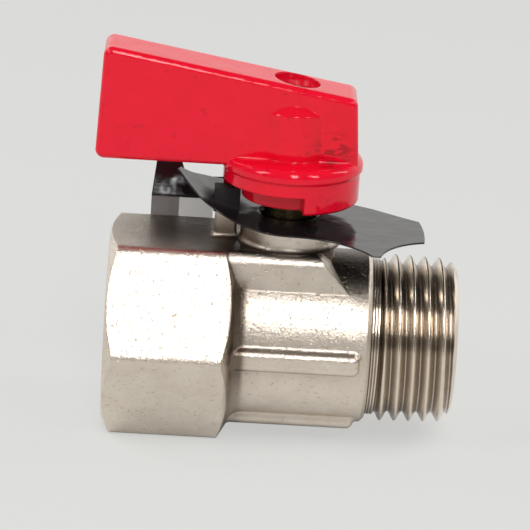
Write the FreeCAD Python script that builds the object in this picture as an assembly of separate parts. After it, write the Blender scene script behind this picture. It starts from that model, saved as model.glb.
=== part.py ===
import FreeCAD, Part
import math
import os

from FreeCAD import Vector

# Half-inch ball valve with a short lever. The origin is where the pipe axis (X) and the
# stem axis (Z) cross, at the middle of the ball. The female hexagon points to -X, the
# male thread to +X. Sizes are in millimetres. The valve is shown open.

# Pipe thread, half inch, 14 turns to the inch
thread_pitch = 25.4 / 14
thread_major = 20.955
thread_depth = 1.162
thread_taper = 1 / 16
gauge_length = 8.2

# Hexagon of the female end
hex_flats = 24.6
hex_corner_round = 1.6
hex_face_x = -21.9
hex_shoulder_x = -6.5
hex_face_radius = 12.05
turned_chamfer = 30.0
shoulder_fillet = 2.0

# Barrel and its ribs
barrel_radius = 10.8
barrel_face_x = 10.8
barrel_chamfer = 0.5
rib_height = 1.0
rib_root_half = 1.75
rib_top_half = 1.0
rib_edge_round = 0.85
rib_foot_round = 0.6
rib_end_x = 9.5
rib_angles = (0.0, 60.0, 120.0, 180.0)

# Neck block and stem boss
neck_root_half = 7.6
neck_root_z = 6.0
neck_top_x = 3.9
neck_slope_x = 7.5
neck_slope_z = 8.2
neck_reach = 4.0
boss_radius = 5.9
boss_top_z = 15.6
boss_chamfer = 0.4
boss_foot_round = 0.7

# Stop lug on the hexagon's top flat
lug_x = -7.75
lug_length = 2.8
lug_width = 1.7
lug_top_z = 18.45
lug_edge_round = 0.4
lug_foot_round = 0.6
lug_foot_sink = 0.02

# Female socket
socket_depth = 12.3
socket_lead_in = 0.6

# Waterway, ball and seats
port_radius = 5.0
ball_radius = 8.0
ball_clearance = 0.03
cavity_clearance = 0.3
seat_inner_clearance = 0.2
seat_outer_radius = 7.55
seat_pocket_clearance = 0.05
seat_back_x = 8.2
seat_length = 3.5
seat_pocket_overhang = 0.1

# Screwed-in male end
nose_radius = 8.9
nose_clearance = 0.05
collar_radius = 9.8
collar_length = 1.3
male_length = 10.7
male_end_chamfer = 1.0
key_flats = 12.0
key_depth = 7.5
mouth_radius = 7.4
mouth_depth = 1.2
end_seal_section = 0.8
end_seal_back = 1.6

# Stem
stem_radius = 3.45
stem_clearance = 0.05
flange_radius = 4.5
flange_clearance = 0.1
flange_bottom_z = 8.2
flange_thickness = 1.1
washer_thickness = 0.6
washer_bore_clearance = 0.1
seal_section = 1.0
seal_groove_radius = 2.45
seal_groove_width = 1.3
seal_groove_z = (11.3, 13.4)
seal_gap = 0.01
tang_width = 2.9
tang_length = 7.0
slot_clearance = 0.1
slot_bottom_z = 6.2
stem_shoulder_z = 19.2
stem_top_z = 27.0
stem_flats = 5.0

# Lever
blade_half = 3.7
blade_bottom_z = 22.3
blade_left_x = -24.25
blade_lean = 0.6
blade_top_z = 32.7
blade_slope = 0.163
blade_right_x = 8.1
blade_right_lean = 0.7
blade_corner_round = 1.1
blade_edge_round = 0.8
hub_radius = 4.8
hub_top_z = 30.4
hub_chamfer = 1.1
skirt_radius = 8.45
skirt_bottom_z = 17.95
stem_relief = 0.3
flange_reach = 0.3
flange_low_z = 21.7
skirt_top_z = 23.5
skirt_shoulder_round = 1.0
skirt_foot_round = 0.25
notch_top_z = 20.15
notch_inner_gap = 0.13
notch_turn = 90.0
notch_play = 1.0
socket_clearance = 0.05

# Lever screw
screw_seat_z = 28.8
screw_radius = 1.45
screw_hole_clearance = 0.05
screw_tip_z = 20.5
screw_web_clearance = 0.15
head_radius = 2.6
head_height = 2.4
head_dome = 0.5
head_hole_clearance = 0.25
recess_width = 0.8
recess_length = 3.0
recess_depth = 1.3

# Tag sheet, seen from above: outline points as (x, y)
tag_thickness = 0.2
tag_hole_clearance = 0.35
tag_lug_clearance = 0.02
tag_near_edge = (
    (-12.0, -2.0), (-9.2, -3.4), (-6.0, -6.1), (-2.4, -9.2), (2.5, -9.9), (7.0, -12.0),
    (9.8, -15.4))
tag_near_corner_width = 1.1
tag_hollow_side = (12.7, -11.6)
tag_right_near = (16.4, -9.2)
tag_right_bulge = (16.5, -5.2)
tag_right_far = (16.1, -1.3)
tag_far_side = ((13.4, 0.6), (10.4, 2.9), (8.3, 4.1))
tag_back_x = 5.0
tag_back_y = 16.0
tag_flap_left_x = -17.2
tag_flap_right_x = -9.4
tag_flap_gap = 0.5
tag_flap_tuck = 0.4
tag_wing_fall = 1.1
tag_wing_root_width = 2.6
tag_wing_tip_width = 6.0
tag_wing_tip_x = -15.2
tag_wing_neck_x = -12.8
tag_wing_lean = 68.0
tag_wing_taper = 0.1
tag_slit = 0.4
tag_slit_x = -4.5

# Curl of the tag's left side: (x, rise) in a section that is turned a little about Z
tag_curl = ((-4.5, 0.0), (-7.9, 0.5), (-9.2, 0.95), (-11.1, 1.9), (-12.0, 2.7), (-13.1, 4.0), (-14.1, 5.6))
tag_curl_end_steepness = 1.6
tag_curl_skew = 0.2
tag_curl_front_y = -2.9
tag_curl_tip_width = 0.6
tag_curl_back_edge = ((-12.5, 0.6), (-10.6, 4.2))
tag_curl_root_x = -8.4

X_AXIS = Vector(1, 0, 0)
Y_AXIS = Vector(0, 1, 0)
Z_AXIS = Vector(0, 0, 1)
ORIGIN = Vector(0, 0, 0)

# Sizes that follow from the ones above
hex_top_z = hex_flats / 2
hex_side = hex_flats / math.sqrt(3)
hex_corner = 2 * hex_flats / math.sqrt(3) / 2
thread_major_radius = thread_major / 2
cavity_radius = ball_radius + cavity_clearance
seat_pocket_radius = seat_outer_radius + seat_pocket_clearance
pocket_front_x = seat_back_x - seat_length - seat_pocket_overhang
male_face_x = barrel_face_x + male_length
thread_start_x = barrel_face_x + collar_length
stem_hole_radius = stem_radius + stem_clearance
flange_top_z = flange_bottom_z + flange_thickness
stem_shoulder_in_z = flange_top_z + washer_thickness
lug_inner_x = lug_x + lug_length / 2
pocket_wall = tag_lug_clearance + tag_thickness
notch_inner_radius = -lug_inner_x - pocket_wall - notch_inner_gap
flange_outer_radius = skirt_radius + flange_reach
sheet_top_z = boss_top_z + tag_thickness
tag_flap_y = hex_side / 2 + tag_flap_gap
tag_curl_left_x = tag_curl[-1][0]


def cylinder(radius, start, end, axis=X_AXIS):
    """Round bar on the X or Z axis, from one station to another."""
    return Part.makeCylinder(radius, end - start, axis * start, axis)


def box(low, high):
    size = high - low
    return Part.makeBox(size.x, size.y, size.z, low)


def turned(points, axis):
    """Solid of revolution from (station, radius) points along the X or Z axis."""
    side = Y_AXIS if axis == X_AXIS else X_AXIS
    corners = [axis * station + side * radius for station, radius in points]
    face = Part.Face(Part.makePolygon(corners + corners[:1]))
    return face.revolve(ORIGIN, axis, 360)


def hexagon(flats, start, end, round_radius=0.0):
    """Hexagonal bar along X with a flat on top and below."""
    corner = flats / math.sqrt(3)
    corners = []
    for number in range(6):
        turn = math.radians(60 * number)
        corners.append(Vector(start, corner * math.cos(turn), corner * math.sin(turn)))
    bar = Part.Face(Part.makePolygon(corners + corners[:1])).extrude(X_AXIS * (end - start))
    if round_radius:
        edges = [edge for edge in bar.Edges if edge.Length > (end - start) * 0.99]
        bar = bar.makeFillet(round_radius, edges)
    return bar


def edges_along(shape, axis, length=0.0):
    """Straight edges of a shape that run along an axis and are longer than a length."""
    found = []
    for edge in shape.Edges:
        if edge.Degenerated or edge.Length <= length or edge.Curve.TypeId != "Part::GeomLine":
            continue
        if abs(abs(edge.Curve.Direction.dot(axis)) - 1) < 1e-6:
            found.append(edge)
    return found


def turned_outline():
    """Turned envelope of the body: face, both chamfers, shoulder fillet, barrel, end."""
    slope = math.tan(math.radians(turned_chamfer))
    reach = hex_corner + 1.0
    left_x = hex_face_x + (reach - hex_face_radius) * slope
    right_x = hex_shoulder_x - (reach - hex_flats / 2) * slope
    meet_x = hex_shoulder_x + (hex_flats / 2 - barrel_radius) * slope
    run = shoulder_fillet * math.tan(math.radians((90 - turned_chamfer) / 2))
    lean = math.radians(turned_chamfer)
    fillet_start = Vector(meet_x - run * math.sin(lean), barrel_radius + run * math.cos(lean), 0)
    fillet_end = Vector(meet_x + run, barrel_radius, 0)
    centre = fillet_end + Vector(0, shoulder_fillet, 0)
    corner = Vector(meet_x, barrel_radius, 0)
    middle = centre + (corner - centre).normalize() * shoulder_fillet
    before = [
        Vector(barrel_face_x - barrel_chamfer, barrel_radius, 0),
        Vector(barrel_face_x, barrel_radius - barrel_chamfer, 0),
        Vector(barrel_face_x, 0, 0),
        Vector(hex_face_x, 0, 0),
        Vector(hex_face_x, hex_face_radius, 0),
        Vector(left_x, reach, 0),
        Vector(right_x, reach, 0),
    ]
    edges = [Part.makeLine(fillet_end, before[0])]
    for first, second in zip(before, before[1:] + [fillet_start]):
        edges.append(Part.makeLine(first, second))
    edges.append(Part.Arc(fillet_start, middle, fillet_end).toShape())
    return Part.Face(Part.Wire(edges)).revolve(ORIGIN, X_AXIS, 360)


def barrel_rib():
    """One long rib at the barrel's +Y side, rounded along its top and at its end."""
    root = barrel_radius - 0.5
    top = barrel_radius + rib_height
    start = hex_shoulder_x - 1.0
    section = [
        Vector(start, root, -rib_root_half),
        Vector(start, top, -rib_top_half),
        Vector(start, top, rib_top_half),
        Vector(start, root, rib_root_half),
    ]
    rib = Part.Face(Part.makePolygon(section + section[:1])).extrude(X_AXIS * (rib_end_x - start))
    rounded = []
    for edge in rib.Edges:
        middle = edge.valueAt((edge.FirstParameter + edge.LastParameter) / 2)
        if middle.x > start + 0.1 and middle.y > root + 0.1:
            rounded.append(edge)
    return rib.makeFillet(rib_edge_round, rounded)


def ribbed_barrel():
    """Turned and hexagonal body with its long ribs, blended at their feet."""
    bar = hexagon(hex_flats, hex_face_x - 1.0, barrel_face_x + 1.0, hex_corner_round)
    body = turned_outline().common(bar)
    for angle in rib_angles:
        rib = barrel_rib()
        rib.rotate(ORIGIN, X_AXIS, -angle)
        body = body.fuse(rib)
    feet = []
    for edge in edges_along(body, X_AXIS, rib_end_x):
        point = edge.Vertexes[0].Point
        if abs(math.hypot(point.y, point.z) - barrel_radius) < 0.01:
            feet.append(edge)
    return body.makeFillet(rib_foot_round, feet)


def neck_block():
    """Square-shouldered top of the barrel, sloping down towards the male end."""
    start = hex_shoulder_x - 1.5
    section = [
        Vector(start, -neck_root_half, 0),
        Vector(start, -neck_root_half, neck_root_z),
        Vector(start, -hex_side / 2, hex_top_z),
        Vector(start, hex_side / 2, hex_top_z),
        Vector(start, neck_root_half, neck_root_z),
        Vector(start, neck_root_half, 0),
    ]
    bar = Part.Face(Part.makePolygon(section + section[:1])).extrude(X_AXIS * (barrel_face_x - start))
    tops = [edge for edge in edges_along(bar, X_AXIS) if edge.Vertexes[0].Z > hex_top_z - 0.1]
    bar = bar.makeFillet(hex_corner_round, tops)
    fall = (hex_top_z - neck_slope_z) / (neck_slope_x - neck_top_x)
    low_x = neck_top_x + hex_top_z / fall
    profile = [
        Vector(start, -hex_flats, 0),
        Vector(start, -hex_flats, hex_top_z),
        Vector(neck_top_x, -hex_flats, hex_top_z),
        Vector(low_x, -hex_flats, 0),
    ]
    side = Part.Face(Part.makePolygon(profile + profile[:1])).extrude(Y_AXIS * 2 * hex_flats)
    side = side.makeFillet(hex_corner_round, [
        edge for edge in edges_along(side, Y_AXIS)
        if abs(edge.Vertexes[0].X - neck_top_x) < 0.01 and edge.Vertexes[0].Z > 1])
    inside = cylinder(barrel_radius + neck_reach, start, barrel_face_x - barrel_chamfer)
    return bar.common(side).common(inside)


def stem_boss():
    """Round boss for the stem, chamfered on top and flared where it meets the neck."""
    flare = boss_foot_round
    low = Vector(boss_radius + flare, 0, hex_top_z)
    high = Vector(boss_radius, 0, hex_top_z + flare)
    middle = Vector(boss_radius + flare, 0, hex_top_z + flare) - Vector(1, 0, 1).normalize() * flare
    corners = [
        high,
        Vector(boss_radius, 0, boss_top_z - boss_chamfer),
        Vector(boss_radius - boss_chamfer, 0, boss_top_z),
        Vector(0, 0, boss_top_z),
        Vector(0, 0, neck_root_z),
        Vector(boss_radius, 0, neck_root_z),
        Vector(boss_radius, 0, hex_top_z - boss_chamfer),
        low,
    ]
    edges = [Part.makeLine(a, b) for a, b in zip(corners, corners[1:])]
    edges.append(Part.Arc(low, middle, high).toShape())
    return Part.Face(Part.Wire(edges)).revolve(ORIGIN, Z_AXIS, 360)


def stop_lug():
    post = box(
        Vector(lug_x - lug_length / 2, -lug_width / 2, hex_top_z - 2.0),
        Vector(lug_x + lug_length / 2, lug_width / 2, lug_top_z))
    rounded = [
        edge for edge in post.Edges
        if edge.BoundBox.ZMax > hex_top_z + 0.1]
    return post.makeFillet(lug_edge_round, rounded)


def flared_profile(middle, half, across):
    """Section with hollow flares at its foot, on the hexagon's top flat, swept sideways."""
    along = Z_AXIS.cross(across)
    flare = lug_foot_round
    foot_z = Z_AXIS * hex_top_z
    points = []
    for side in (-1, 1):
        edge = along * (middle + side * (half - lug_foot_sink))
        centre = edge + along * side * flare + foot_z + Z_AXIS * flare
        inward = (Z_AXIS + along * side).normalize() * flare
        points.append((edge + along * side * flare + foot_z, centre - inward, edge + foot_z + Z_AXIS * flare))
    left, right = points
    deep = Z_AXIS * lug_foot_round
    edges = [
        Part.Arc(*left).toShape(),
        Part.makeLine(left[2], right[2]),
        Part.Arc(right[2], right[1], right[0]).toShape(),
        Part.makeLine(right[0], right[0] - deep),
        Part.makeLine(right[0] - deep, left[0] - deep),
        Part.makeLine(left[0] - deep, left[0]),
    ]
    face = Part.Face(Part.Wire(edges))
    face.translate(across * -hex_flats)
    return face.extrude(across * 2 * hex_flats)


def lug_foot():
    """Flared foot of the lug."""
    lengthways = flared_profile(lug_x, lug_length / 2, -Y_AXIS)
    sideways = flared_profile(0.0, lug_width / 2, X_AXIS)
    return lengthways.common(sideways)


def valve_body():
    body = ribbed_barrel().fuse([neck_block(), stem_boss(), stop_lug(), lug_foot()])
    socket_end = hex_face_x + socket_depth
    hollow = turned([
        (hex_face_x - 1.0, 0),
        (hex_face_x - 1.0, thread_major_radius + socket_lead_in + 1.0),
        (hex_face_x + socket_lead_in, thread_major_radius),
        (socket_end, thread_major_radius),
        (socket_end, port_radius),
        (-seat_back_x, port_radius),
        (-seat_back_x, seat_pocket_radius),
        (-pocket_front_x, seat_pocket_radius),
        (-pocket_front_x, cavity_radius),
        (pocket_front_x - seat_pocket_overhang, cavity_radius),
        (pocket_front_x - seat_pocket_overhang, nose_radius + nose_clearance),
        (barrel_face_x + 1.0, nose_radius + nose_clearance),
        (barrel_face_x + 1.0, 0),
    ], X_AXIS)
    stem_bore = cylinder(stem_hole_radius, 0, boss_top_z + 1.0, Z_AXIS)
    flange_seat = cylinder(flange_radius + flange_clearance, 0, stem_shoulder_in_z, Z_AXIS)
    body = body.cut(hollow).cut(stem_bore).cut(flange_seat)
    return body


def thread_radius(x):
    """Crest radius of the tapered thread at a station along X."""
    gauge_x = male_face_x - gauge_length
    return thread_major_radius + (gauge_x - x) * thread_taper / 2


def male_outline():
    """Half outline of the male end, with one vee for each turn of its thread."""
    flat = thread_pitch * 0.12
    points = [
        (pocket_front_x, 0),
        (pocket_front_x, nose_radius),
        (barrel_face_x - end_seal_back, nose_radius),
        (barrel_face_x - end_seal_back, nose_radius - end_seal_section),
        (barrel_face_x - end_seal_back + end_seal_section + 0.2, nose_radius - end_seal_section),
        (barrel_face_x - end_seal_back + end_seal_section + 0.2, nose_radius),
        (barrel_face_x, nose_radius),
        (barrel_face_x, collar_radius),
        (thread_start_x, collar_radius),
    ]
    station = thread_start_x + thread_pitch / 2
    last_x = male_face_x - male_end_chamfer
    while station + flat < last_x:
        crest = thread_radius(station)
        root_x = station + thread_pitch / 2
        points.append((station - flat, crest))
        points.append((station + flat, crest))
        if root_x + flat < last_x:
            points.append((root_x - flat, crest - thread_depth))
            points.append((root_x + flat, crest - thread_depth))
        station += thread_pitch
    points.append((male_face_x - male_end_chamfer, thread_radius(male_face_x)))
    points.append((male_face_x, thread_radius(male_face_x) - male_end_chamfer))
    points.append((male_face_x, 0))
    return points


def male_end():
    """Screwed-in end: thread outside, waterway and a driving hexagon inside."""
    end = turned(male_outline(), X_AXIS)
    hollow = turned([
        (pocket_front_x - 1.0, 0),
        (pocket_front_x - 1.0, seat_pocket_radius),
        (seat_back_x, seat_pocket_radius),
        (seat_back_x, port_radius),
        (male_face_x - mouth_depth, port_radius),
        (male_face_x - mouth_depth, mouth_radius - mouth_depth),
        (male_face_x + 1.0, mouth_radius + 1.0),
        (male_face_x + 1.0, 0),
    ], X_AXIS)
    key = hexagon(key_flats, male_face_x - key_depth, male_face_x + 1.0)
    return end.cut(hollow).cut(key)


def ball():
    solid = Part.makeSphere(ball_radius)
    solid = solid.cut(cylinder(port_radius, -ball_radius, ball_radius))
    half = tang_width / 2 + slot_clearance
    slot = box(Vector(-half, -ball_radius, slot_bottom_z), Vector(half, ball_radius, ball_radius + 1))
    return solid.cut(slot)


def seat_ring(side):
    """Sealing ring in its pocket on one side of the ball, -1 female or +1 male."""
    outer = cylinder(seat_outer_radius, seat_back_x - seat_length, seat_back_x)
    inner = cylinder(port_radius + seat_inner_clearance, 0, seat_back_x)
    ring = outer.cut(inner).cut(Part.makeSphere(ball_radius + ball_clearance))
    if side < 0:
        ring.rotate(ORIGIN, Z_AXIS, 180)
    return ring


def round_ring(ring_radius, section_radius, centre, axis):
    return Part.makeTorus(ring_radius, section_radius, centre, axis)


def end_seal():
    section = end_seal_section / 2 - seal_gap
    ring_radius = nose_radius - end_seal_section / 2
    station = barrel_face_x - end_seal_back + end_seal_section / 2 + 0.1
    return round_ring(ring_radius, section, X_AXIS * station, X_AXIS)


def flats_bar(radius, flats, low_z, high_z):
    """Round bar along Z with two flats that face along X."""
    bar = cylinder(radius, low_z, high_z, Z_AXIS)
    half = flats / 2
    return bar.common(box(Vector(-half, -radius, low_z), Vector(half, radius, high_z)))


def stem():
    outline = [
        (flange_bottom_z, 0),
        (flange_bottom_z, flange_radius),
        (flange_top_z, flange_radius),
        (flange_top_z, stem_radius),
    ]
    for middle in seal_groove_z:
        low = middle - seal_groove_width / 2
        high = middle + seal_groove_width / 2
        outline += [(low, stem_radius), (low, seal_groove_radius)]
        outline += [(high, seal_groove_radius), (high, stem_radius)]
    outline += [(stem_shoulder_z, stem_radius), (stem_shoulder_z, 0)]
    shaft = turned(outline, Z_AXIS)
    tang = box(
        Vector(-tang_width / 2, -tang_length / 2, slot_bottom_z + slot_clearance),
        Vector(tang_width / 2, tang_length / 2, flange_top_z))
    tang = tang.common(cylinder(flange_radius, 0, flange_top_z, Z_AXIS))
    top = flats_bar(stem_radius, stem_flats, stem_shoulder_z - 0.1, stem_top_z)
    tapped = cylinder(screw_radius + screw_hole_clearance, screw_tip_z - 0.5, stem_top_z + 1, Z_AXIS)
    return shaft.fuse([tang, top]).cut(tapped).removeSplitter()


def thrust_washer():
    inner = cylinder(stem_radius + washer_bore_clearance, 0, stem_shoulder_in_z, Z_AXIS)
    return cylinder(flange_radius, flange_top_z, stem_shoulder_in_z, Z_AXIS).cut(inner)


def stem_seal(middle):
    section = seal_section / 2
    return round_ring(seal_groove_radius + section + seal_gap, section, Z_AXIS * middle, Z_AXIS)


def lever_blade():
    """Flat grip with a sloping top, rounded at its corners and edges."""
    left_top_x = blade_left_x + blade_lean
    right_top_x = blade_right_x - blade_right_lean
    outline = [
        Vector(blade_left_x, -blade_half, blade_bottom_z),
        Vector(left_top_x, -blade_half, blade_top_z - blade_slope * left_top_x),
        Vector(right_top_x, -blade_half, blade_top_z - blade_slope * right_top_x),
        Vector(blade_right_x, -blade_half, blade_bottom_z),
    ]
    blade = Part.Face(Part.makePolygon(outline + outline[:1])).extrude(Y_AXIS * 2 * blade_half)
    blade = blade.makeFillet(blade_corner_round, edges_along(blade, Y_AXIS))
    rims = [
        edge for edge in blade.Edges
        if abs(abs(edge.CenterOfMass.y) - blade_half) < 1e-6]
    return blade.makeFillet(blade_edge_round, rims)


def lever_hub():
    """Round hub that swells out of the blade's sides, chamfered on top."""
    return turned([
        (blade_bottom_z, 0),
        (hub_top_z, 0),
        (hub_top_z, hub_radius - hub_chamfer),
        (hub_top_z - hub_chamfer, hub_radius),
        (blade_bottom_z, hub_radius),
    ], Z_AXIS)


def lever_skirt():
    """Round foot of the lever, with a rounded shoulder under the blade."""
    turn = skirt_shoulder_round
    start = Vector(flange_outer_radius, 0, skirt_top_z - turn)
    end = Vector(flange_outer_radius - turn, 0, skirt_top_z)
    middle = Vector(flange_outer_radius - turn, 0, skirt_top_z - turn)
    middle += Vector(1, 0, 1).normalize() * turn
    corners = [
        end,
        Vector(0, 0, skirt_top_z),
        Vector(0, 0, skirt_bottom_z),
        Vector(skirt_radius - skirt_foot_round, 0, skirt_bottom_z),
        Vector(skirt_radius, 0, skirt_bottom_z + skirt_foot_round),
        Vector(skirt_radius, 0, flange_low_z),
        Vector(flange_outer_radius, 0, flange_low_z + flange_reach),
        start,
    ]
    edges = [Part.makeLine(a, b) for a, b in zip(corners, corners[1:])]
    edges.append(Part.Arc(start, middle, end).toShape())
    return Part.Face(Part.Wire(edges)).revolve(ORIGIN, Z_AXIS, 360)


def stop_notch():
    """Sector cut out of the lever's foot, a quarter turn longer than the lug."""
    inner_corner_x = -lug_inner_x - pocket_wall
    stop_angle = math.degrees(math.atan2(lug_width / 2 + pocket_wall, inner_corner_x)) + notch_play
    start = 180 - stop_angle
    sweep = 2 * stop_angle + notch_turn
    outer = skirt_radius + 2.0
    section = Part.makePolygon([
        Vector(notch_inner_radius, 0, skirt_bottom_z - 1),
        Vector(outer, 0, skirt_bottom_z - 1),
        Vector(outer, 0, notch_top_z),
        Vector(notch_inner_radius, 0, notch_top_z),
        Vector(notch_inner_radius, 0, skirt_bottom_z - 1),
    ])
    sector = Part.Face(section).revolve(ORIGIN, Z_AXIS, sweep)
    sector.rotate(ORIGIN, Z_AXIS, start)
    return sector


def lever():
    body = lever_blade().fuse([lever_hub(), lever_skirt()])
    relief = cylinder(stem_radius + stem_relief, skirt_bottom_z - 1, stem_shoulder_z, Z_AXIS)
    head_hole = cylinder(head_radius + head_hole_clearance, screw_seat_z, blade_top_z + 1, Z_AXIS)
    web_hole = cylinder(screw_radius + screw_web_clearance, stem_top_z, screw_seat_z + 1, Z_AXIS)
    grip = flats_bar(
        stem_radius + socket_clearance, stem_flats + 2 * socket_clearance,
        stem_shoulder_z - 1, stem_top_z)
    for hollow in (stop_notch(), head_hole, web_hole, grip, relief):
        body = body.cut(hollow)
    return body.removeSplitter()


def lever_screw():
    top = screw_seat_z + head_height
    shank = cylinder(screw_radius, screw_tip_z, screw_seat_z, Z_AXIS)
    head = cylinder(head_radius, screw_seat_z, top, Z_AXIS)
    dome_radius = (head_radius ** 2 + head_dome ** 2) / (2 * head_dome)
    dome = Part.makeSphere(dome_radius, Z_AXIS * (top + head_dome - dome_radius))
    dome = dome.common(cylinder(head_radius, top - 0.1, top + head_dome + 1, Z_AXIS))
    screw = shank.fuse([head, dome])
    low = top + head_dome - recess_depth
    for long_x, long_y in ((recess_length, recess_width), (recess_width, recess_length)):
        screw = screw.cut(box(
            Vector(-long_x / 2, -long_y / 2, low),
            Vector(long_x / 2, long_y / 2, top + 2)))
    return screw.removeSplitter()


def flat_point(point):
    return Vector(point[0], point[1], 0)


def tag_plan():
    """Outline of the main part of the tag: near edge, near corner, hollow side, right end,
    far side, back, and the curled left corner beside the slit."""
    corner = flat_point(tag_near_edge[-1])
    corner_end = corner + X_AXIS * tag_near_corner_width
    left_near = Vector(tag_curl_left_x, tag_curl_front_y, 0)
    near = Part.BSplineCurve()
    near.interpolate([left_near] + [flat_point(point) for point in tag_near_edge])
    slit_y = tag_flap_y - tag_slit
    straight = [flat_point(tag_right_far)] + [flat_point(point) for point in tag_far_side]
    straight += [
        Vector(tag_back_x, tag_back_y, 0),
        Vector(tag_slit_x, tag_back_y, 0),
        Vector(tag_slit_x, slit_y, 0),
        Vector(tag_curl_root_x, slit_y, 0),
    ]
    tip = left_near + Y_AXIS * tag_curl_tip_width
    back = Part.BSplineCurve()
    back.interpolate([straight[-1]] + [flat_point(p) for p in reversed(tag_curl_back_edge)] + [tip])
    edges = [
        near.toShape(),
        Part.makeLine(corner, corner_end),
        Part.Arc(corner_end, flat_point(tag_hollow_side), flat_point(tag_right_near)).toShape(),
        Part.Arc(
            flat_point(tag_right_near), flat_point(tag_right_bulge), flat_point(tag_right_far)).toShape(),
    ]
    edges += [Part.makeLine(a, b) for a, b in zip(straight, straight[1:])]
    edges += [back.toShape(), Part.makeLine(tip, left_near)]
    return Part.Wire(edges)


def curled_sheet():
    """Endless sheet, flat over the boss and curling up at the left."""
    end_way = Vector(-1, 0, tag_curl_end_steepness)
    low_points = [Vector(x, 0, boss_top_z + rise) for x, rise in tag_curl]
    low = Part.BSplineCurve()
    low.interpolate(low_points, InitialTangent=-X_AXIS, FinalTangent=end_way)
    high_points = []
    for point in low_points:
        along = low.tangent(low.parameter(point))[0]
        high_points.append(point + Vector(along.z, 0, -along.x) * tag_thickness)
    high = Part.BSplineCurve()
    high.interpolate(high_points, InitialTangent=-X_AXIS, FinalTangent=end_way)
    right_low = Vector(2 * tag_back_y, 0, boss_top_z)
    right_high = Vector(2 * tag_back_y, 0, sheet_top_z)
    profile = Part.Wire([
        low.toShape(),
        Part.makeLine(low_points[-1], high_points[-1]),
        high.toShape(),
        Part.makeLine(high_points[0], right_high),
        Part.makeLine(right_high, right_low),
        Part.makeLine(right_low, low_points[0]),
    ])
    reach = 2 * tag_back_y
    ruling = Vector(tag_curl_skew, 1, 0)
    slab = Part.Face(profile).extrude(ruling * 2 * reach)
    slab.translate(ruling * -reach - X_AXIS * tag_curl_skew * tag_curl_front_y)
    return slab


def eased(value, start, end):
    """0 before the start, 1 past the end, with a smooth way between them."""
    share = min(max((value - start) / (end - start), 0.0), 1.0)
    return share * share * (3 - 2 * share)


def tag_wing():
    """Left rear wing of the tag: a strip that twists from flat, beside the stem, to nearly
    upright at its wide left end, where a flap hangs from its lower edge."""
    root_x = tag_slit_x + tag_slit
    steps = 14
    rows = []
    for step in range(steps + 1):
        x = tag_flap_left_x + (root_x - tag_flap_left_x) * step / steps
        turned_up = eased(x, root_x, tag_flap_right_x)
        lean = math.radians(tag_wing_lean) * turned_up
        widening = eased(x, tag_wing_neck_x, tag_wing_tip_x)
        width = tag_wing_root_width + (tag_wing_tip_width - tag_wing_root_width) * widening
        edge = Vector(x, tag_flap_y, boss_top_z - tag_wing_fall * turned_up)
        up = Vector(tag_wing_taper * turned_up, math.cos(lean), math.sin(lean))
        rows.append([edge + up * width * way for way in (0.0, 0.5, 1.0)])
    surface = Part.BSplineSurface()
    surface.interpolate(rows)
    skin = surface.toShape()
    half_lean = math.radians(tag_wing_lean / 2)
    way = Vector(0, -math.sin(half_lean), math.cos(half_lean))
    wing = skin.extrude(way * tag_thickness / math.cos(half_lean))
    flap = box(
        Vector(tag_flap_left_x, tag_flap_y - tag_thickness, hex_top_z - tag_flap_tuck),
        Vector(tag_flap_right_x, tag_flap_y, boss_top_z - tag_wing_fall + tag_thickness / 2))
    return wing.fuse(flap)


def lug_pocket(grow):
    """Block round the stop lug, larger than it by a margin on every side."""
    margin = Vector(grow, grow, 0)
    return box(
        Vector(lug_x - lug_length / 2, -lug_width / 2, hex_top_z) - margin,
        Vector(lug_inner_x, lug_width / 2, lug_top_z + grow) + margin)


def tag():
    """Thin sheet that lies on the stem boss, pressed up over the lug, curled and folded."""
    plan = Part.Face(tag_plan()).extrude(Z_AXIS * blade_bottom_z)
    sheet = plan.common(curled_sheet())
    under = Part.Face(tag_plan()).extrude(Z_AXIS * boss_top_z)
    raised = lug_pocket(pocket_wall).cut(under)
    sheet = sheet.fuse([raised, tag_wing()])
    stem_hole = cylinder(stem_radius + tag_hole_clearance, 0, skirt_top_z, Z_AXIS)
    return sheet.cut(stem_hole).cut(lug_pocket(tag_lug_clearance)).removeSplitter()


def pieces():
    return {
        "valve_body": valve_body(),
        "male_end": male_end(),
        "end_seal": end_seal(),
        "ball": ball(),
        "seat_ring_female": seat_ring(-1),
        "seat_ring_male": seat_ring(1),
        "stem": stem(),
        "thrust_washer": thrust_washer(),
        "stem_seal_lower": stem_seal(seal_groove_z[0]),
        "stem_seal_upper": stem_seal(seal_groove_z[1]),
        "lever": lever(),
        "lever_screw": lever_screw(),
        "tag": tag(),
    }


def main():
    os.makedirs("parts", exist_ok=True)
    for name, shape in pieces().items():
        solids = shape.Solids
        print(name, "solids", len(solids), "valid", shape.isValid(), "volume", round(shape.Volume, 2))
        solid = solids[0] if len(solids) == 1 else shape
        solid.exportStep("parts/" + name + ".step")


main()
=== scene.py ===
import math

import bmesh
import bpy
from mathutils import Matrix, Vector

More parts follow.
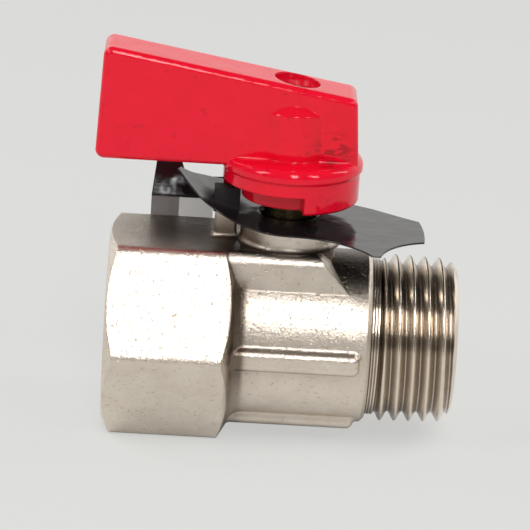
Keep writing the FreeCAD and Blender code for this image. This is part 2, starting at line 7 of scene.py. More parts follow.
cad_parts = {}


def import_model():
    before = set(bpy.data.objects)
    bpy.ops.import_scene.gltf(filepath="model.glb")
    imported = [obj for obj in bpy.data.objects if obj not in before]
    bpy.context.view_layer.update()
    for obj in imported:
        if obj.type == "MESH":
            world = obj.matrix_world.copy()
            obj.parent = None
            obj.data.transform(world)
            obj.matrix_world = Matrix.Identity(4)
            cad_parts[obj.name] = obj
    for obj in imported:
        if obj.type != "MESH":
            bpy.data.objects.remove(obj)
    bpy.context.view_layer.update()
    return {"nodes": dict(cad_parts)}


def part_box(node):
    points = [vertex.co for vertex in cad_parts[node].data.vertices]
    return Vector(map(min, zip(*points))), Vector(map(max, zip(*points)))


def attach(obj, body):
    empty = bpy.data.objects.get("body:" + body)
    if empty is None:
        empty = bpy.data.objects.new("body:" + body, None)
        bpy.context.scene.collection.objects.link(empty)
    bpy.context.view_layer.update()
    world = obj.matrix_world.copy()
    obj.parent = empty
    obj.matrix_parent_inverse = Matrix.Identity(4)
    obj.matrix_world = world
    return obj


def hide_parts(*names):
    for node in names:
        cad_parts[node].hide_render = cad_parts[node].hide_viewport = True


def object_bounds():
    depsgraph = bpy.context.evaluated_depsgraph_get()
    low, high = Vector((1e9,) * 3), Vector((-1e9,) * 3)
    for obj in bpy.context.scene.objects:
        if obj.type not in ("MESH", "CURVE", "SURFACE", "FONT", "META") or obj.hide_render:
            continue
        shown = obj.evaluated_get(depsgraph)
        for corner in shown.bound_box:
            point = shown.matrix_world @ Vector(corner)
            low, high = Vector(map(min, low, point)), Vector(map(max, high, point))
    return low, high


# Lengths are written in millimetres and turned into metres with mm.
mm = 0.001

# The photograph's camera: in front, a little to the left, looking down, slightly rolled
image_px = 530
focal_px = 3210.35
camera_azimuth = math.radians(-1.3037)
camera_elevation = math.radians(18.9291)
camera_roll = math.radians(3.6899)
camera_distance = 400 * mm
camera_target = Vector((-2.5359, 0.0, 8.6077)) * mm

# Room: its brightness behind the valve and everywhere else, its tint, and the backdrop
# that the camera sees
room_back = 1.05
room_dark = 0.16
room_colour = (1.0, 0.99, 0.97, 1.0)
backdrop_colour = (0.72, 0.72, 0.70, 1.0)

# Where the room's bright part begins and is full, as shares of a look to the back, and
# where it fades, as shares of a look upwards
room_back_fade = (-0.2, 0.6)
room_top_fade = (0.42, 0.66)

# Floor: its two mixed colours, its painted shadow colour close under the valve, the share of
# its light that is its own, how open it looks to the camera at least, and half its width
floor_colour = (0.745, 0.745, 0.73)
floor_cloud = (0.73, 0.73, 0.715)
# Painted shadow colour of the floor close under the valve
painted_shadow_under_valve = (0.06, 0.055, 0.05)
floor_glow = 0.82
floor_least_open = 0.86
floor_half = 3000.0

# Shade on the floor close under the valve: how far it reaches, and how open the floor is
# where the shade is full and where it ends
contact_reach = 9.0
contact_range = (0.06, 0.46)

# Distance of every lamp from the valve
lamp_distance = 600.0

# Colours of the finishes, as linear values
nickel_colour = (0.81, 0.72, 0.62)
nickel_shade = (0.68, 0.59, 0.49)
# Darker tone for pits in the plate, and painted shade in hollows, grooves and low faces
nickel_pit_and_shade = (0.20, 0.155, 0.12)
# Painted shade and dark reflection on faces that look up
nickel_dark_reflection = (0.075, 0.06, 0.05)
brass_colour = (0.78, 0.58, 0.28)
brass_shade = (0.62, 0.44, 0.20)
# Painted shade on the stem where the lever and the boss close round it
brass_painted_shade = (0.012, 0.010, 0.008)
red_colour = (0.89, 0.004, 0.030)
red_shade = (0.78, 0.003, 0.021)
red_mark = (0.50, 0.003, 0.012)
# Painted dark reflection on the lever's front near the stem
red_dark_reflection = (0.46, 0.001, 0.010)
sheet_colour = (0.006, 0.005, 0.006)
sheet_haze = (0.014, 0.012, 0.014)
# Painted reflections on the sheet's hanging flap, dim on its left and bright on its right
flap_dim_reflection = (0.34, 0.335, 0.33)
flap_bright_reflection = (0.78, 0.78, 0.77)
seat_colour = (0.86, 0.86, 0.84)
seat_shade = (0.78, 0.78, 0.75)
rubber_colour = (0.018, 0.018, 0.018)
rubber_haze = (0.035, 0.035, 0.034)
chrome_colour = (0.80, 0.80, 0.81)
chrome_shade = (0.70, 0.70, 0.72)
zinc_colour = (0.58, 0.58, 0.58)
zinc_shade = (0.42, 0.42, 0.43)

# Rays by which soft edges and hollows are found at each point
shading_samples = 6

# Share of a spot's reach that has its full strength
spot_core = 0.4

# Groove between the hexagon and the barrel, where painted shade sits: its middle and half
# width along the pipe, the share of that width that is at its darkest, and the heights
# near which the painted shade ends and thins out
groove_x = -5.7
groove_half = 1.5
groove_core = 0.35
groove_top_z = 8.75
groove_foot_z = -5.0

# Height up to which the body's end faces are turned
turned_top_z = 12.5

# Painted dark reflections on the lever's front, near the stem
dark_reflection_place = (4.9, -4.4, 24.9)
dark_reflection_reach = 3.2

# Crumpled, dull place of the sheet over the stop lug
crumple_place = (-7.75, 0.0, 17.6)
crumple_reach = 4.0

# Smoky flap of the sheet: its top, and where its dim painted reflection gives way to a bright one
flap_top_z = 14.46
flap_change_x = -13.7

# Half-inch pipe thread: its sizes, where one crest lies, and how its crests are rounded
thread_pitch = 25.4 / 14
thread_major_radius = 20.955 / 2
thread_depth = 1.162
thread_taper = 1 / 16
gauge_length = 8.2
thread_crest_x = 15.74
flank_slope = 1.24
crest_flat = 0.12
thread_rounding = 0.45

# Screwed-in end: nose with the seat's pocket and the seal's groove, shoulder, collar,
# waterway, key hexagon and mouth
nose_radius = 8.9
seat_radius = 7.6
seat_end_x = 8.2
seal_groove_start_x = 9.2
seal_groove_end_x = 10.2
seal_groove_radius = 8.1
shoulder_x = 10.8
collar_end_x = 12.1
collar_radius = 9.8
collar_bevel = 0.15
port_radius = 5.0
key_flats = 12.0
key_length = 7.5
key_run_out = 0.35
mouth_radius = 7.4
mouth_chamfer = 1.2
end_chamfer = 1.0
end_chamfer_slope = 1.25

# Low ridges turned round the collar
ridge_count = 3
ridge_start = 0.05
ridge_pitch = 0.36
ridge_width = 0.34
ridge_slope = 0.10
ridge_height = 0.12

# Male thread: where it starts, how long it takes to reach its depth, and how deep it starts
thread_overlap = 0.05
thread_run_in = 0.45
thread_start_depth = 0.35

# Female thread: the socket's plain mouth, the thread's length, its fade at both ends, the
# skin that it stands on, its gap to the wall and what its crests lack
socket_mouth = 0.7
socket_thread_length = 10.6
socket_fade = 0.9
socket_skin = 0.03
socket_gap = 0.002
socket_crest_loss = 0.05

# Fineness of the thread meshes, round the pipe and along it
turn_steps = 192
male_thread_steps = 168
female_thread_steps = 150
thread_sharp_degrees = 50.0

# Points of a mesh that lie closer than this are one
merge_distance = 0.0005


class Nodes:
    """A node tree, with one short method for each kind of node it needs."""

    def __init__(self, tree):
        self.tree = tree
        self.tree.nodes.clear()

    def node(self, kind, **settings):
        made = self.tree.nodes.new(kind)
        for name, value in settings.items():
            setattr(made, name, value)
        return made

    def link(self, source, target):
        self.tree.links.new(source, target)

    def fill(self, target, value):
        """Sets an input to a number or colour, or links an output to it."""
        if isinstance(value, bpy.types.NodeSocket):
            self.link(value, target)
        else:
            target.default_value = value

    def span(self, value, low, high, new_low=0.0, new_high=1.0, smooth=False):
        """Stretches the range from low to high over the new range, and holds its ends."""
        made = self.node("ShaderNodeMapRange")
        if smooth:
            made.interpolation_type = "SMOOTHSTEP"
        self.link(value, made.inputs["Value"])
        made.inputs["From Min"].default_value = low
        made.inputs["From Max"].default_value = high
        made.inputs["To Min"].default_value = new_low
        made.inputs["To Max"].default_value = new_high
        return made.outputs[0]

    def math(self, operation, *values):
        made = self.node("ShaderNodeMath", operation=operation)
        for target, value in zip(made.inputs, values):
            self.fill(target, value)
        return made.outputs[0]

    def show_both(self, output, factor, first, second):
        """Sends a mix of two shader nodes to the output node."""
        both = self.node("ShaderNodeMixShader")
        self.link(factor, both.inputs[0])
        self.link(first.outputs[0], both.inputs[1])
        self.link(second.outputs[0], both.inputs[2])
        self.link(both.outputs[0], output.inputs[0])


class Paint(Nodes):
    """A material with one main shader, patterned by places on the object itself."""

    def __init__(self, name):
        self.material = bpy.data.materials.new(name)
        self.material.use_nodes = True
        super().__init__(self.material.node_tree)
        self.shader = self.node("ShaderNodeBsdfPrincipled")
        self.output = self.node("ShaderNodeOutputMaterial")
        self.link(self.shader.outputs[0], self.output.inputs[0])
        self.place = self.node("ShaderNodeTexCoord").outputs["Object"]

    def principled(self, **values):
        for name, value in values.items():
            self.fill(self.shader.inputs[name.replace("_", " ")], value)

    def noise(self, grain, detail=3.0, stretch=(1.0, 1.0, 1.0)):
        """Noise with lumps about one grain long, in millimetres."""
        scaled = self.node("ShaderNodeMapping")
        scaled.inputs["Scale"].default_value = stretch
        self.link(self.place, scaled.inputs["Vector"])
        made = self.node("ShaderNodeTexNoise")
        made.inputs["Scale"].default_value = 1.0 / (grain * mm)
        made.inputs["Detail"].default_value = detail
        self.link(scaled.outputs[0], made.inputs["Vector"])
        return made.outputs[0]

    def mix(self, factor, first, second):
        """Mixes two colours."""
        made = self.node("ShaderNodeMix", data_type="RGBA")
        self.fill(made.inputs[0], factor)
        for target, value in ((made.inputs[6], first), (made.inputs[7], second)):
            self.fill(target, value if isinstance(value, bpy.types.NodeSocket) else (*value, 1.0))
        return made.outputs[2]

    def blend(self, factor, first, second):
        """Mixes two numbers."""
        made = self.node("ShaderNodeMix")
        self.fill(made.inputs[0], factor)
        self.fill(made.inputs[2], first)
        self.fill(made.inputs[3], second)
        return made.outputs[0]

    def bump(self, height, depth, normal=None):
        """Bump from a height of 0 to 1 that stands depth millimetres high."""
        made = self.node("ShaderNodeBump")
        made.inputs["Distance"].default_value = depth * mm
        self.link(height, made.inputs["Height"])
        if normal is not None:
            self.link(normal, made.inputs["Normal"])
        return made.outputs[0]

    def soft_edges(self, radius):
        """Normals that round off the solid's sharp edges."""
        made = self.node("ShaderNodeBevel", samples=shading_samples)
        made.inputs["Radius"].default_value = radius * mm
        return made.outputs[0]

    def hollows(self, reach, own=False):
        """1 in the open and less in hollows; own leaves out other pieces and the floor."""
        made = self.node("ShaderNodeAmbientOcclusion", samples=shading_samples, only_local=own)
        made.inputs["Distance"].default_value = reach * mm
        return made.outputs["AO"]

    def painted_hollow_shade(self, reach, deep, unshaded, most, own=False):
        """Painted shade in hollows: most where the openness is deep or less, none where it is
        unshaded or more.
        """
        return self.span(self.hollows(reach, own), deep, unshaded, most, 0.0, smooth=True)

    def turning_lines(self, pitch):
        """Fine turned lines, one above the other, a pitch in millimetres apart."""
        made = self.node("ShaderNodeTexWave", bands_direction="Z")
        # At a scale of 1 the texture has 20 radians of wave to the metre.
        made.inputs["Scale"].default_value = 2 * math.pi / (pitch * mm) / 20
        made.inputs["Distortion"].default_value = 0.6
        self.link(self.place, made.inputs["Vector"])
        return made.outputs[1]

    def along(self, axis):
        """Place along an axis, in metres."""
        made = self.node("ShaderNodeSeparateXYZ")
        self.link(self.place, made.inputs[0])
        return made.outputs[axis]

    def past(self, axis, place, soft, before=0.0, after=1.0):
        """Steps from one value to another at a place on an axis, soft millimetres each way."""
        low = (place - soft) * mm
        high = (place + soft) * mm
        return self.span(self.along(axis), low, high, before, after)

    def facing(self, axis):
        """How far the surface faces along an axis, from -1 to 1."""
        geometry = self.node("ShaderNodeNewGeometry")
        made = self.node("ShaderNodeSeparateXYZ")
        self.link(geometry.outputs["True Normal"], made.inputs[0])
        return made.outputs[axis]

    def near(self, point, reach):
        """1 around a point given in millimetres, falling to 0 at its reach."""
        made = self.node("ShaderNodeVectorMath", operation="DISTANCE")
        self.link(self.place, made.inputs[0])
        made.inputs[1].default_value = Vector(point) * mm
        low = spot_core * reach * mm
        return self.span(made.outputs["Value"], low, reach * mm, 1.0, 0.0, smooth=True)


def groove_shade(paint):
    """Painted shade in the groove beside the hexagon: none above the neck, less near the foot."""
    away = paint.math("ABSOLUTE", paint.math("SUBTRACT", paint.along("X"), groove_x * mm))
    low = groove_core * groove_half * mm
    inside = paint.span(away, low, groove_half * mm, 1.0, 0.0, smooth=True)
    below_neck = paint.past("Z", groove_top_z, 0.75, 1.0, 0.0)
    above_foot = paint.past("Z", groove_foot_z, 3.0, 0.4, 1.0)
    return paint.math("MULTIPLY", inside, paint.math("MULTIPLY", below_neck, above_foot))


def shelf_dark_reflection(paint):
    """Painted shade and dark reflection on faces that look up from under the sheet and the lever.
    """
    upward = paint.span(paint.facing("Z"), 0.80, 0.97)
    sheltered = paint.painted_hollow_shade(16.0, 0.62, 0.93, 0.95)
    return paint.math("MULTIPLY", upward, sheltered)


def end_faces(paint):
    """1 on the turned faces that look along the pipe."""
    facing = paint.span(paint.math("ABSOLUTE", paint.facing("X")), 0.78, 0.84)
    return paint.math("MULTIPLY", facing, paint.past("Z", turned_top_z, 0.1, 1.0, 0.0))


def forged_nickel():
    """Nickel plate over forged brass: a lumpy matte grain, brighter turned faces, painted shade
    in hollows and a painted dark reflection on faces that look up.
    """
    paint = Paint("forged_nickel")
    grain = paint.noise(0.30, 3.0)
    fine = paint.noise(0.13, 2.0)
    cloud = paint.noise(2.6, 3.0)
    specks = paint.span(paint.noise(0.42, 2.0), 0.64, 0.72)
    # Painted shade in the body's hollows and along its edges
    shade_in_hollows = paint.painted_hollow_shade(4.5, 0.58, 0.96, 0.95, own=True)
    # Painted shade, weaker, in the body's wider hollows and low down
    shaded = paint.painted_hollow_shade(6.0, 0.45, 0.85, 0.25, own=True)
    colour = paint.mix(paint.span(cloud, 0.35, 0.7, 0.0, 0.5), nickel_colour, nickel_shade)
    colour = paint.mix(paint.math("MULTIPLY", specks, 0.08), colour, nickel_pit_and_shade)
    colour = paint.mix(shaded, colour, nickel_pit_and_shade)
    # Painted shade and dark reflection on the hexagon's top, under the sheet and the lever
    colour = paint.mix(shelf_dark_reflection(paint), colour, nickel_dark_reflection)
    # Painted shade in the body's hollows, along its edges and in the groove beside the hexagon
    colour = paint.mix(paint.math("MAXIMUM", shade_in_hollows, groove_shade(paint)), colour, nickel_pit_and_shade)
    rough = paint.span(grain, 0.3, 0.7, 0.32, 0.42)
    rough = paint.blend(end_faces(paint), rough, 0.20)
    surface = paint.bump(grain, 0.050, paint.soft_edges(0.30))
    surface = paint.bump(paint.math("SUBTRACT", 1.0, specks), 0.05, surface)
    surface = paint.bump(fine, 0.012, surface)
    surface = paint.bump(cloud, 0.12, surface)
    paint.principled(Metallic=1.0, Base_Color=colour, Roughness=rough, Normal=surface)
    return paint.material


def turned_nickel():
    """Nickel plate over turned brass: shiny, with painted shade in its grooves and a painted dark
    reflection, darker and less metallic, where it looks up.
    """
    paint = Paint("turned_nickel")
    cloud = paint.noise(1.6, 3.0)
    # Painted shade in the thread's grooves
    shade_in_hollows = paint.painted_hollow_shade(1.1, 0.30, 0.95, 0.9)
    # Painted dark reflection on faces that look up: darker colour and less metal
    upward = paint.span(paint.facing("Z"), 0.62, 0.85)
    colour = paint.mix(paint.span(cloud, 0.3, 0.7, 0.0, 0.3), nickel_colour, nickel_shade)
    colour = paint.mix(shade_in_hollows, colour, nickel_pit_and_shade)
    colour = paint.mix(upward, colour, nickel_dark_reflection)
    metal = paint.span(upward, 0.0, 1.0, 1.0, 0.25)
    rough = paint.span(cloud, 0.3, 0.7, 0.18, 0.24)
    surface = paint.bump(cloud, 0.02, paint.soft_edges(0.10))
    paint.principled(
        Metallic=metal, Base_Color=colour, Roughness=rough, Normal=surface,
        Specular_IOR_Level=0.3)
    return paint.material


def plain_brass():
    """Bare turned brass, darkened by painted shade where the lever and the boss close round it.
    """
    paint = Paint("plain_brass")
    cloud = paint.noise(0.9, 4.0)
    colour = paint.mix(cloud, brass_colour, brass_shade)
    # Painted shade where the lever and the boss close round the stem
    colour = paint.mix(paint.painted_hollow_shade(6.0, 0.25, 0.75, 1.0), colour, brass_painted_shade)
    rough = paint.span(cloud, 0.3, 0.7, 0.22, 0.36)
    surface = paint.bump(paint.turning_lines(0.754), 0.006, paint.soft_edges(0.08))
    paint.principled(Metallic=1.0, Base_Color=colour, Roughness=rough, Normal=surface)
    return paint.material


def red_paint():
    """Glossy powder coat: a slight orange peel, a few duller, darker marks, and painted dark
    reflections near the stem.
    """
    paint = Paint("red_paint")
    cloud = paint.noise(3.0, 3.0)
    marks = paint.span(paint.noise(1.3, 4.0), 0.60, 0.72, 0.0, 0.5, smooth=True)
    # Painted dark reflections in streaks near the stem
    reflection_streaks = paint.span(
        paint.noise(1.0, 4.0, stretch=(0.6, 1.0, 1.4)), 0.46, 0.56, smooth=True)
    reflected_dark = paint.math("MULTIPLY", reflection_streaks, paint.near(dark_reflection_place, dark_reflection_reach))
    colour = paint.mix(cloud, red_colour, red_shade)
    colour = paint.mix(marks, colour, red_mark)
    colour = paint.mix(reflected_dark, colour, red_dark_reflection)
    rough = paint.span(paint.noise(0.8, 3.0), 0.3, 0.7, 0.05, 0.10)
    surface = paint.bump(paint.noise(0.9, 2.0), 0.008, paint.soft_edges(0.30))
    surface = paint.bump(cloud, 0.07, surface)
    paint.principled(
        Base_Color=colour, Roughness=rough, Normal=surface, Specular_IOR_Level=0.35)
    return paint.material


def dark_sheet():
    """Thin glossy black film, slightly wavy and scratched; its hanging flap has painted
    reflections, a dim grey one on its left and a pale one on its right.
    """
    paint = Paint("dark_sheet")
    scratches = paint.noise(0.3, 2.0, stretch=(0.08, 1.0, 1.0))
    hanging = paint.past("Z", flap_top_z, 0.04, 1.0, 0.0)
    # The flap's colour is painted reflection: dim on the left, bright on the right
    brighter_half = paint.past("X", flap_change_x, 0.05)
    black = paint.mix(paint.noise(1.5, 4.0), sheet_colour, sheet_haze)
    colour = paint.mix(hanging, black, paint.mix(brighter_half, flap_dim_reflection, flap_bright_reflection))
    clear = paint.math("MULTIPLY", hanging, paint.span(brighter_half, 0.0, 1.0, 0.35, 0.7))
    rough = paint.span(scratches, 0.35, 0.7, 0.09, 0.17)
    rough = paint.blend(paint.near(crumple_place, crumple_reach), rough, 0.75)
    surface = paint.bump(paint.noise(2.8, 2.0), 0.06, paint.soft_edges(0.15))
    surface = paint.bump(scratches, 0.004, surface)
    paint.principled(
        Base_Color=colour, Roughness=rough, Normal=surface, Transmission_Weight=clear,
        Specular_IOR_Level=0.6)
    return paint.material


def seat_white():
    """Smooth, waxy white plastic."""
    paint = Paint("seat_white")
    colour = paint.mix(paint.noise(0.8, 3.0), seat_colour, seat_shade)
    surface = paint.bump(paint.noise(0.3, 3.0), 0.01)
    paint.principled(Base_Color=colour, Roughness=0.42, Subsurface_Weight=0.2, Normal=surface)
    return paint.material


def seal_rubber():
    """Satin black rubber."""
    paint = Paint("seal_rubber")
    cloud = paint.noise(0.5, 3.0)
    colour = paint.mix(cloud, rubber_colour, rubber_haze)
    rough = paint.span(cloud, 0.3, 0.7, 0.42, 0.60)
    surface = paint.bump(paint.noise(0.15, 3.0), 0.008)
    paint.principled(Base_Color=colour, Roughness=rough, Normal=surface)
    return paint.material


def chromed_ball():
    """Polished chrome with fine scratches along the bore."""
    paint = Paint("chromed_ball")
    scratches = paint.noise(0.25, 3.0, stretch=(0.1, 1.0, 1.0))
    colour = paint.mix(scratches, chrome_colour, chrome_shade)
    rough = paint.span(scratches, 0.3, 0.7, 0.05, 0.12)
    surface = paint.bump(scratches, 0.002)
    paint.principled(Metallic=1.0, Base_Color=colour, Roughness=rough, Normal=surface)
    return paint.material


def zinc_steel():
    """Zinc-plated steel, slightly cloudy."""
    paint = Paint("zinc_steel")
    cloud = paint.noise(0.6, 4.0)
    colour = paint.mix(cloud, zinc_colour, zinc_shade)
    rough = paint.span(cloud, 0.3, 0.7, 0.25, 0.40)
    surface = paint.bump(paint.noise(0.12, 3.0), 0.008, paint.soft_edges(0.08))
    paint.principled(Metallic=1.0, Base_Color=colour, Roughness=rough, Normal=surface)
    return paint.material


def mesh_object(name, vertices, faces, material, sharp_degrees=35.0):
    """New mesh piece, given in millimetres, shaded smooth up to an angle."""
    mesh = bpy.data.meshes.new(name)
    mesh.from_pydata([Vector(point) * mm for point in vertices], [], faces)
    mesh.validate()
    made = bpy.data.objects.new(name, mesh)
    bpy.context.scene.collection.objects.link(made)
    mesh.materials.append(material)
    work = bmesh.new()
    work.from_mesh(mesh)
    bmesh.ops.remove_doubles(work, verts=work.verts, dist=merge_distance * mm)
    bmesh.ops.recalc_face_normals(work, faces=work.faces)
    limit = math.radians(sharp_degrees)
    for face in work.faces:
        face.smooth = True
    for edge in work.edges:
        edge.smooth = len(edge.link_faces) != 2 or edge.calc_face_angle(0.0) < limit
    work.to_mesh(mesh)
    work.free()
    return made


def ring(x, radius):
    """Ring of points round the X axis; radius is a number or a function of the turn."""
    points = []
    for step in range(turn_steps):
        turn = 2 * math.pi * step / turn_steps
        r = radius(turn) if callable(radius) else radius
        points.append((x, r * math.cos(turn), r * math.sin(turn)))
    return points


def closed_skin(rows):
    """Skin through a ring for each row of place and radius; the last joins the first."""
    rings = [ring(x, radius) for x, radius in rows]
    vertices = [point for points in rings for point in points]
    faces = []
    for number in range(len(rings)):
        here = number * turn_steps
        there = (number + 1) % len(rings) * turn_steps
        for step in range(turn_steps):
            after = (step + 1) % turn_steps
            faces.append((here + step, here + after, there + after, there + step))
    return vertices, faces


def thread_share(x, turn):
    """How deep the right-hand thread is cut at a place: 0 on the crest, 1 in the root.
    Crests and roots are rounded as on a pipe thread."""
    turns = (x - thread_crest_x) / thread_pitch - (turn - math.pi / 2) / (2 * math.pi)
    away = abs((turns + 0.5) % 1.0 - 0.5) * 2
    flank = min(max(away * flank_slope - crest_flat, 0.0), 1.0)
    wave = 0.5 - 0.5 * math.cos(math.pi * away)
    return (1 - thread_rounding) * flank + thread_rounding * wave


def hexagon_radius(flats, turn):
    """Radius of a hexagon with a flat on top, at a turn from +Y."""
    around = (turn + math.pi / 6) % (math.pi / 3) - math.pi / 6
    return flats / 2 / math.cos(around - math.copysign(math.pi / 6, around))


def nose_rows(nose_x):
    """Outside of the screwed-in end from its nose to the shoulder, with the seal's groove."""
    return [
        (nose_x, nose_radius),
        (seal_groove_start_x, nose_radius),
        (seal_groove_start_x, seal_groove_radius),
        (seal_groove_end_x, seal_groove_radius),
        (seal_groove_end_x, nose_radius),
        (shoulder_x, nose_radius),
    ]


def collar_rows():
    """Outside of the collar, with its low turned ridges."""
    rows = [(shoulder_x, collar_radius - collar_bevel)]
    for number in range(ridge_count):
        start = shoulder_x + ridge_start + number * ridge_pitch
        end = start + ridge_width
        rows += [
            (start, collar_radius - ridge_height),
            (start + ridge_slope, collar_radius),
            (end - ridge_slope, collar_radius),
            (end, collar_radius - ridge_height),
        ]
    return rows


def male_thread_rows(face_x):
    """Outside of the tapered thread, from the collar to the chamfered end face."""
    start_x = collar_end_x - thread_overlap
    start_radius = collar_radius - thread_start_depth
    gauge_x = face_x - gauge_length
    chamfer_x = face_x - end_chamfer
    rows = []
    for number in range(male_thread_steps + 1):
        x = start_x + (face_x - start_x) * number / male_thread_steps
        crest = thread_major_radius + (gauge_x - x) * thread_taper / 2
        run_in = min((x - start_x) / thread_run_in, 1.0)
        clip = crest - max(x - chamfer_x, 0.0) * end_chamfer_slope

        def radius(turn, x=x, crest=crest, run_in=run_in, clip=clip):
            cut = crest - thread_depth * thread_share(x, turn)
            return min(start_radius + (cut - start_radius) * run_in, clip)

        rows.append((x, radius))
    return rows


def male_bore_rows(face_x, nose_x):
    """Inside of the screwed-in end: mouth, key hexagon, waterway and the seat's pocket."""
    mouth_end_x = face_x - mouth_chamfer
    key_end_x = face_x - key_length

    def key(turn):
        return hexagon_radius(key_flats, turn)

    def mouth(turn):
        return max(mouth_radius - mouth_chamfer, key(turn))

    return [
        (face_x, mouth_radius),
        (mouth_end_x, mouth),
        (mouth_end_x - key_run_out, key),
        (key_end_x, key),
        (key_end_x, port_radius),
        (seat_end_x, port_radius),
        (seat_end_x, seat_radius),
        (nose_x, seat_radius),
    ]


def male_end_piece(material):
    """Screwed-in end with its true helical thread; it replaces the grooved solid."""
    low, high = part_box("male_end")
    nose_x = low.x / mm
    face_x = high.x / mm
    rows = nose_rows(nose_x) + collar_rows() + male_thread_rows(face_x)
    rows += male_bore_rows(face_x, nose_x)
    vertices, faces = closed_skin(rows)
    piece = mesh_object("male_thread_end", vertices, faces, material, thread_sharp_degrees)
    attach(piece, "valve")
    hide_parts("male_end")


def female_thread_piece(material):
    """Thread ridges that line the female socket."""
    low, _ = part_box("valve_body")
    mouth_x = low.x / mm + socket_mouth
    end_x = mouth_x + socket_thread_length
    wall = thread_major_radius - socket_gap
    height = thread_depth - socket_crest_loss
    rows = [(mouth_x, wall)]
    for number in range(female_thread_steps + 1):
        x = mouth_x + (end_x - mouth_x) * number / female_thread_steps
        fade = min((x - mouth_x) / socket_fade, (end_x - x) / socket_fade, 1.0)

        def radius(turn, x=x, fade=fade):
            return wall - socket_skin - height * fade * (1 - thread_share(x, turn))

        rows.append((x, radius))
    rows.append((end_x, wall))
    vertices, faces = closed_skin(rows)
    piece = mesh_object("female_thread_ridges", vertices, faces, material, thread_sharp_degrees)
    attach(piece, "valve")


def away_from_valve(azimuth, elevation):
    """Direction from the valve; azimuth 0 is the camera's side, + to the right."""
    flat = math.cos(elevation)
    return Vector((math.sin(azimuth) * flat, -math.cos(azimuth) * flat, math.sin(elevation)))


def make_camera():
    """The photograph's camera, built from its two angles, its roll and its distance."""
    back = away_from_valve(camera_azimuth, camera_elevation)
    right = (-back).cross(Vector((0, 0, 1))).normalized()
    up = right.cross(-back).normalized()
    across = right * math.cos(camera_roll) + up * math.sin(camera_roll)
    upward = up * math.cos(camera_roll) - right * math.sin(camera_roll)
    data = bpy.data.cameras.new("camera")
    camera = bpy.data.objects.new("camera", data)
    bpy.context.scene.collection.objects.link(camera)
    place = Matrix((across, upward, back)).transposed().to_4x4()
    place.translation = camera_target + back * camera_distance
    camera.matrix_world = place
    data.sensor_fit = "HORIZONTAL"
    data.angle = 2 * math.atan(image_px / 2 / focal_px)
    data.clip_start = 0.01
    data.clip_end = 20.0
    bpy.context.scene.camera = camera


def strip_light(name, azimuth, elevation, width, height, power):
    """Soft box that looks at the valve; angles in degrees, power in watts."""
    away = away_from_valve(math.radians(azimuth), math.radians(elevation))
    data = bpy.data.lights.new(name, "AREA")
    data.shape = "RECTANGLE"
    data.size = width * mm
    data.size_y = height * mm
    data.energy = power
    light = bpy.data.objects.new(name, data)
    bpy.context.scene.collection.objects.link(light)
    light.location = away * lamp_distance * mm
    light.rotation_euler = (-away).to_track_quat("-Z", "Y").to_euler()


def make_lights():
    """Five upright strip boxes, whose mirror images are the small lights on the lever."""
    strip_light("front_box", azimuth=4, elevation=43, width=90, height=370, power=1.35)
    strip_light("right_box", azimuth=42, elevation=42, width=70, height=300, power=0.6)
    strip_light("left_box", azimuth=-58, elevation=42, width=70, height=300, power=0.9)
    strip_light("far_left_box", azimuth=-106, elevation=40, width=70, height=300, power=0.5)
    strip_light("far_right_box", azimuth=103, elevation=40, width=70, height=300, power=0.6)


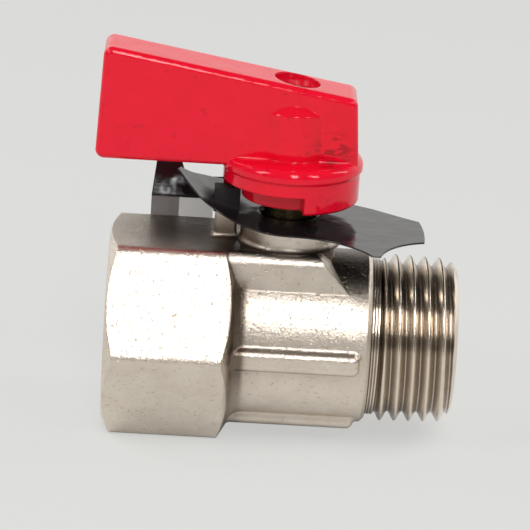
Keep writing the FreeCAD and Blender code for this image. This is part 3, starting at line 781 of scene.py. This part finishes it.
def make_world():
    """Studio: a bright low backdrop, dark overhead and dim behind the camera."""
    world = bpy.data.worlds.new("room")
    bpy.context.scene.world = world
    world.use_nodes = True
    nodes = Nodes(world.node_tree)
    output = nodes.node("ShaderNodeOutputWorld")
    place = nodes.node("ShaderNodeTexCoord")
    parts = nodes.node("ShaderNodeSeparateXYZ")
    nodes.link(place.outputs["Generated"], parts.inputs[0])
    back = nodes.span(parts.outputs["Y"], *room_back_fade, smooth=True)
    low = nodes.span(
        parts.outputs["Z"], *room_top_fade, room_back - room_dark, 0.0, smooth=True)
    room = nodes.node("ShaderNodeBackground")
    nodes.fill(room.inputs["Strength"], nodes.math("MULTIPLY_ADD", back, low, room_dark))
    nodes.fill(room.inputs["Color"], room_colour)
    backdrop = nodes.node("ShaderNodeBackground")
    nodes.fill(backdrop.inputs["Color"], backdrop_colour)
    path = nodes.node("ShaderNodeLightPath")
    nodes.show_both(output, path.outputs["Is Camera Ray"], room, backdrop)


def make_floor():
    """Pale floor; part of its brightness is its own, so the valve's shadow stays faint, and that
    glow carries a painted shadow close under the valve.
    """
    paint = Paint("floor")
    colour = paint.mix(paint.noise(400.0, 2.0), floor_colour, floor_cloud)
    paint.principled(Base_Color=colour, Roughness=0.9)
    path = paint.node("ShaderNodeLightPath")
    direct = path.outputs["Is Camera Ray"]
    mirrored = path.outputs["Is Glossy Ray"]
    least_open = paint.math("MULTIPLY", direct, floor_least_open)
    # Painted contact shadow: the floor's glow darkens where the valve closes it in
    open_floor = paint.span(paint.hollows(contact_reach), *contact_range, smooth=True)
    open_floor = paint.math("MAXIMUM", open_floor, least_open)
    glow = paint.node("ShaderNodeEmission")
    paint.link(paint.mix(open_floor, painted_shadow_under_valve, colour), glow.inputs["Color"])
    share = paint.math("ADD", paint.math("MULTIPLY", direct, floor_glow), mirrored)
    paint.show_both(paint.output, share, paint.shader, glow)
    low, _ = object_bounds()
    corners = [
        (side * floor_half, end * floor_half, low.z / mm)
        for side, end in ((-1, -1), (1, -1), (1, 1), (-1, 1))]
    floor = mesh_object("floor", corners, [(0, 1, 2, 3)], paint.material)


def finish_nodes(nodes, looks):
    """Gives each carried-over solid its finish."""
    for names, material in looks:
        for name in names:
            data = nodes[name].data
            data.materials.clear()
            data.materials.append(material)


def main():
    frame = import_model()
    bpy.context.scene.view_settings.view_transform = "Standard"
    make_camera()
    make_world()
    make_lights()
    make_floor()
    turned = turned_nickel()
    finish_nodes(frame["nodes"], [
        (["valve_body"], forged_nickel()),
        (["male_end"], turned),
        (["stem"], plain_brass()),
        (["ball"], chromed_ball()),
        (["seat_ring_female", "seat_ring_male", "thrust_washer"], seat_white()),
        (["end_seal", "stem_seal_lower", "stem_seal_upper"], seal_rubber()),
        (["lever"], red_paint()),
        (["lever_screw"], zinc_steel()),
        (["tag"], dark_sheet()),
    ])
    male_end_piece(turned)
    female_thread_piece(turned)


main()
